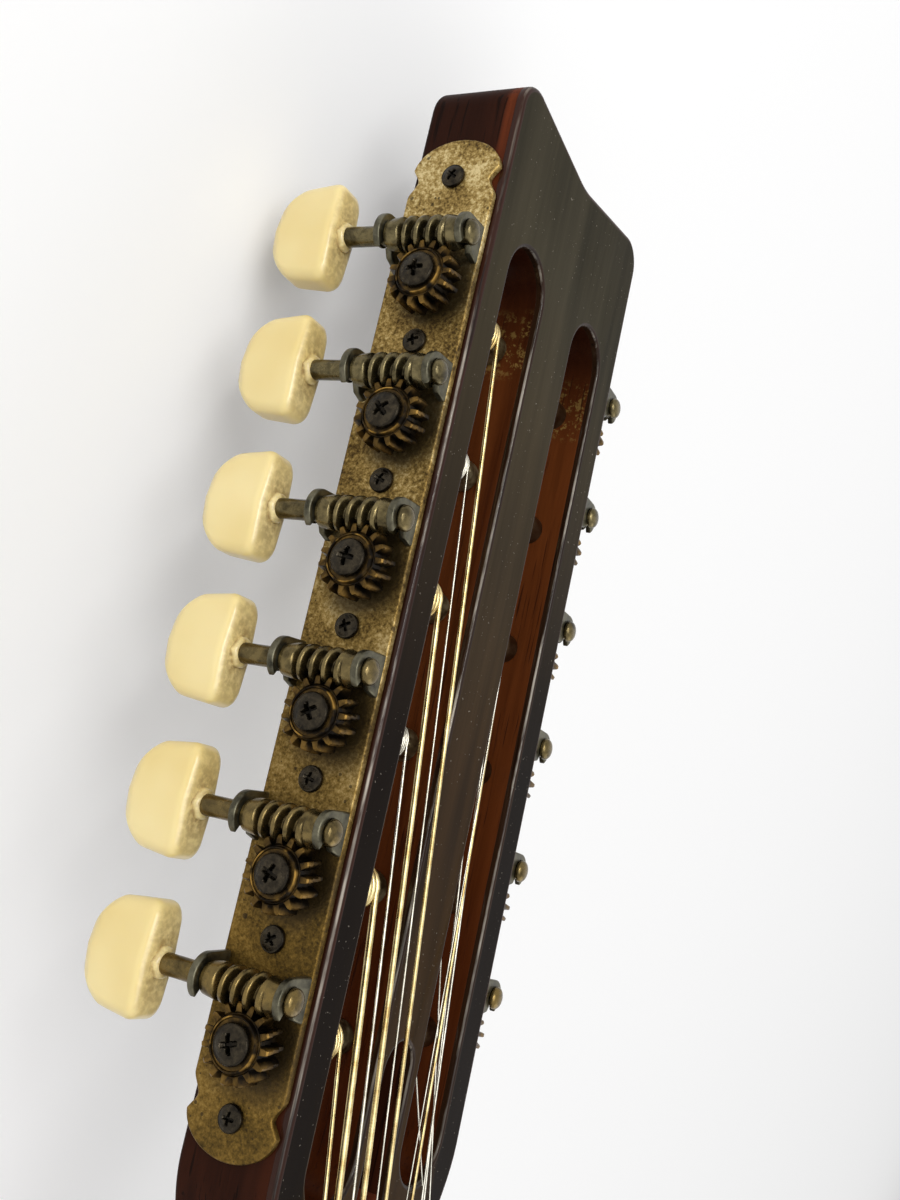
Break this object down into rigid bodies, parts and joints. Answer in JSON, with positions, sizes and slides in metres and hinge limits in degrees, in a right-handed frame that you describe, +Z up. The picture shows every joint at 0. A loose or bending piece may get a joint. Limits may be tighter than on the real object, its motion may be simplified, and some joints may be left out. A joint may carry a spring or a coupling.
{
  "type": "twelve-string acoustic guitar",
  "caption": "Flat-top acoustic guitar with paired strings, a slotted head and open worm-and-gear machine heads whose keys turn the string rollers; lies on its back.",
  "frame": {"origin": "on the floor, under the middle of the whole outline, the guitar lying on its back", "axes": "+Z up, out of the soundboard; +Y from the tail to the head; +X to the treble side"},
  "size_m": [0.407, 1.0814, 0.1271],
  "materials": {
    "mahogany": "glossy lacquer, aged",
    "dark_veneer": "dark glossy lacquer",
    "rosewood": "oiled, open grain",
    "spruce": "glossy lacquer, yellowed",
    "bare_spruce": "bare",
    "ivory_plastic": "cream, polished",
    "bone": "yellowed, polished",
    "aged_brass": "pitted, stained",
    "nickel": "nickel plated, tarnished",
    "dark_shell": "thin glossy sheet",
    "bronze_wire": "wound wire",
    "plain_wire": "drawn wire",
    "grey_steel": "dull"
  },
  "bodies": {
    "guitar": {"soundboard": "spruce", "back": "mahogany", "sides": "mahogany", "top_lining_treble": "bare_spruce", "top_lining_bass": "bare_spruce", "back_lining_treble": "bare_spruce", "back_lining_bass": "bare_spruce", "neck_block": "mahogany", "tail_block": "mahogany", "x_brace": "bare_spruce", "upper_brace": "bare_spruce", "bridge_plate": "rosewood", "pickguard": "dark_shell", "end_pin": "ivory_plastic", "neck": "mahogany", "head": "mahogany", "head_veneer": "dark_veneer", "truss_rod": "grey_steel", "fingerboard": "rosewood", "nut": "bone", "bridge": "rosewood", "saddle": "bone", "tuner_plate_treble": "aged_brass", "tuner_plate_bass": "aged_brass", "string_1a": "plain_wire", "string_1b": "plain_wire", "string_2a": "plain_wire", "string_2b": "plain_wire", "string_3a": "bronze_wire", "string_3b": "plain_wire", "string_4a": "bronze_wire", "string_4b": "plain_wire", "string_5a": "bronze_wire", "string_5b": "plain_wire", "string_6a": "bronze_wire", "string_6b": "bronze_wire"},
    "key_treble_1": {"tuner_key_treble_1": "ivory_plastic"},
    "roller_treble_1": {"string_roller_treble_1": "nickel"},
    "key_treble_2": {"tuner_key_treble_2": "ivory_plastic"},
    "roller_treble_2": {"string_roller_treble_2": "nickel"},
    "key_treble_3": {"tuner_key_treble_3": "ivory_plastic"},
    "roller_treble_3": {"string_roller_treble_3": "nickel"},
    "key_treble_4": {"tuner_key_treble_4": "ivory_plastic"},
    "roller_treble_4": {"string_roller_treble_4": "nickel"},
    "key_treble_5": {"tuner_key_treble_5": "ivory_plastic"},
    "roller_treble_5": {"string_roller_treble_5": "nickel"},
    "key_treble_6": {"tuner_key_treble_6": "ivory_plastic"},
    "roller_treble_6": {"string_roller_treble_6": "nickel"},
    "key_bass_1": {"tuner_key_bass_1": "ivory_plastic"},
    "roller_bass_1": {"string_roller_bass_1": "nickel"},
    "key_bass_2": {"tuner_key_bass_2": "ivory_plastic"},
    "roller_bass_2": {"string_roller_bass_2": "nickel"},
    "key_bass_3": {"tuner_key_bass_3": "ivory_plastic"},
    "roller_bass_3": {"string_roller_bass_3": "nickel"},
    "key_bass_4": {"tuner_key_bass_4": "ivory_plastic"},
    "roller_bass_4": {"string_roller_bass_4": "nickel"},
    "key_bass_5": {"tuner_key_bass_5": "ivory_plastic"},
    "roller_bass_5": {"string_roller_bass_5": "nickel"},
    "key_bass_6": {"tuner_key_bass_6": "ivory_plastic"},
    "roller_bass_6": {"string_roller_bass_6": "nickel"}
  },
  "joints": [
    {"name": "key_treble_1_turn", "type": "hinge", "parent": "guitar", "child": "key_treble_1", "pos_m": [0.0373, 0.50422, 0.03666], "axis": [0, 0.2812, 0.9596], "continuous": true},
    {"name": "roller_treble_1_turn", "type": "hinge", "parent": "guitar", "child": "roller_treble_1", "pos_m": [0.0157, 0.49664, 0.03888], "axis": [1, 0, 0], "continuous": true},
    {"name": "key_treble_2_turn", "type": "hinge", "parent": "guitar", "child": "key_treble_2", "pos_m": [0.0373, 0.47985, 0.0438], "axis": [0, 0.2812, 0.9596], "continuous": true},
    {"name": "roller_treble_2_turn", "type": "hinge", "parent": "guitar", "child": "roller_treble_2", "pos_m": [0.0157, 0.47226, 0.04602], "axis": [1, 0, 0], "continuous": true},
    {"name": "key_treble_3_turn", "type": "hinge", "parent": "guitar", "child": "key_treble_3", "pos_m": [0.0373, 0.45547, 0.05094], "axis": [0, 0.2812, 0.9596], "continuous": true},
    {"name": "roller_treble_3_turn", "type": "hinge", "parent": "guitar", "child": "roller_treble_3", "pos_m": [0.0157, 0.44789, 0.05316], "axis": [1, 0, 0], "continuous": true},
    {"name": "key_treble_4_turn", "type": "hinge", "parent": "guitar", "child": "key_treble_4", "pos_m": [0.0373, 0.4311, 0.05808], "axis": [0, 0.2812, 0.9596], "continuous": true},
    {"name": "roller_treble_4_turn", "type": "hinge", "parent": "guitar", "child": "roller_treble_4", "pos_m": [0.0157, 0.42352, 0.06031], "axis": [1, 0, 0], "continuous": true},
    {"name": "key_treble_5_turn", "type": "hinge", "parent": "guitar", "child": "key_treble_5", "pos_m": [0.0373, 0.40672, 0.06523], "axis": [0, 0.2812, 0.9596], "continuous": true},
    {"name": "roller_treble_5_turn", "type": "hinge", "parent": "guitar", "child": "roller_treble_5", "pos_m": [0.0157, 0.39914, 0.06745], "axis": [1, 0, 0], "continuous": true},
    {"name": "key_treble_6_turn", "type": "hinge", "parent": "guitar", "child": "key_treble_6", "pos_m": [0.0373, 0.38235, 0.07237], "axis": [0, 0.2812, 0.9596], "continuous": true},
    {"name": "roller_treble_6_turn", "type": "hinge", "parent": "guitar", "child": "roller_treble_6", "pos_m": [0.0157, 0.37477, 0.07459], "axis": [1, 0, 0], "continuous": true},
    {"name": "key_bass_1_turn", "type": "hinge", "parent": "guitar", "child": "key_bass_1", "pos_m": [-0.0373, 0.50422, 0.03666], "axis": [0, 0.2812, 0.9596], "continuous": true},
    {"name": "roller_bass_1_turn", "type": "hinge", "parent": "guitar", "child": "roller_bass_1", "pos_m": [-0.0157, 0.49664, 0.03888], "axis": [1, 0, 0], "continuous": true},
    {"name": "key_bass_2_turn", "type": "hinge", "parent": "guitar", "child": "key_bass_2", "pos_m": [-0.0373, 0.47985, 0.0438], "axis": [0, 0.2812, 0.9596], "continuous": true},
    {"name": "roller_bass_2_turn", "type": "hinge", "parent": "guitar", "child": "roller_bass_2", "pos_m": [-0.0157, 0.47226, 0.04602], "axis": [1, 0, 0], "continuous": true},
    {"name": "key_bass_3_turn", "type": "hinge", "parent": "guitar", "child": "key_bass_3", "pos_m": [-0.0373, 0.45547, 0.05094], "axis": [0, 0.2812, 0.9596], "continuous": true},
    {"name": "roller_bass_3_turn", "type": "hinge", "parent": "guitar", "child": "roller_bass_3", "pos_m": [-0.0157, 0.44789, 0.05316], "axis": [1, 0, 0], "continuous": true},
    {"name": "key_bass_4_turn", "type": "hinge", "parent": "guitar", "child": "key_bass_4", "pos_m": [-0.0373, 0.4311, 0.05808], "axis": [0, 0.2812, 0.9596], "continuous": true},
    {"name": "roller_bass_4_turn", "type": "hinge", "parent": "guitar", "child": "roller_bass_4", "pos_m": [-0.0157, 0.42352, 0.06031], "axis": [1, 0, 0], "continuous": true},
    {"name": "key_bass_5_turn", "type": "hinge", "parent": "guitar", "child": "key_bass_5", "pos_m": [-0.0373, 0.40672, 0.06523], "axis": [0, 0.2812, 0.9596], "continuous": true},
    {"name": "roller_bass_5_turn", "type": "hinge", "parent": "guitar", "child": "roller_bass_5", "pos_m": [-0.0157, 0.39914, 0.06745], "axis": [1, 0, 0], "continuous": true},
    {"name": "key_bass_6_turn", "type": "hinge", "parent": "guitar", "child": "key_bass_6", "pos_m": [-0.0373, 0.38235, 0.07237], "axis": [0, 0.2812, 0.9596], "continuous": true},
    {"name": "roller_bass_6_turn", "type": "hinge", "parent": "guitar", "child": "roller_bass_6", "pos_m": [-0.0157, 0.37477, 0.07459], "axis": [1, 0, 0], "continuous": true}
  ],
  "couplings": [
    {"joint": "roller_treble_1_turn", "follows": "key_treble_1_turn", "ratio": -0.066667},
    {"joint": "roller_treble_2_turn", "follows": "key_treble_2_turn", "ratio": -0.066667},
    {"joint": "roller_treble_3_turn", "follows": "key_treble_3_turn", "ratio": -0.066667},
    {"joint": "roller_treble_4_turn", "follows": "key_treble_4_turn", "ratio": -0.066667},
    {"joint": "roller_treble_5_turn", "follows": "key_treble_5_turn", "ratio": -0.066667},
    {"joint": "roller_treble_6_turn", "follows": "key_treble_6_turn", "ratio": -0.066667},
    {"joint": "roller_bass_1_turn", "follows": "key_bass_1_turn", "ratio": 0.066667},
    {"joint": "roller_bass_2_turn", "follows": "key_bass_2_turn", "ratio": 0.066667},
    {"joint": "roller_bass_3_turn", "follows": "key_bass_3_turn", "ratio": 0.066667},
    {"joint": "roller_bass_4_turn", "follows": "key_bass_4_turn", "ratio": 0.066667},
    {"joint": "roller_bass_5_turn", "follows": "key_bass_5_turn", "ratio": 0.066667},
    {"joint": "roller_bass_6_turn", "follows": "key_bass_6_turn", "ratio": 0.066667}
  ]
}
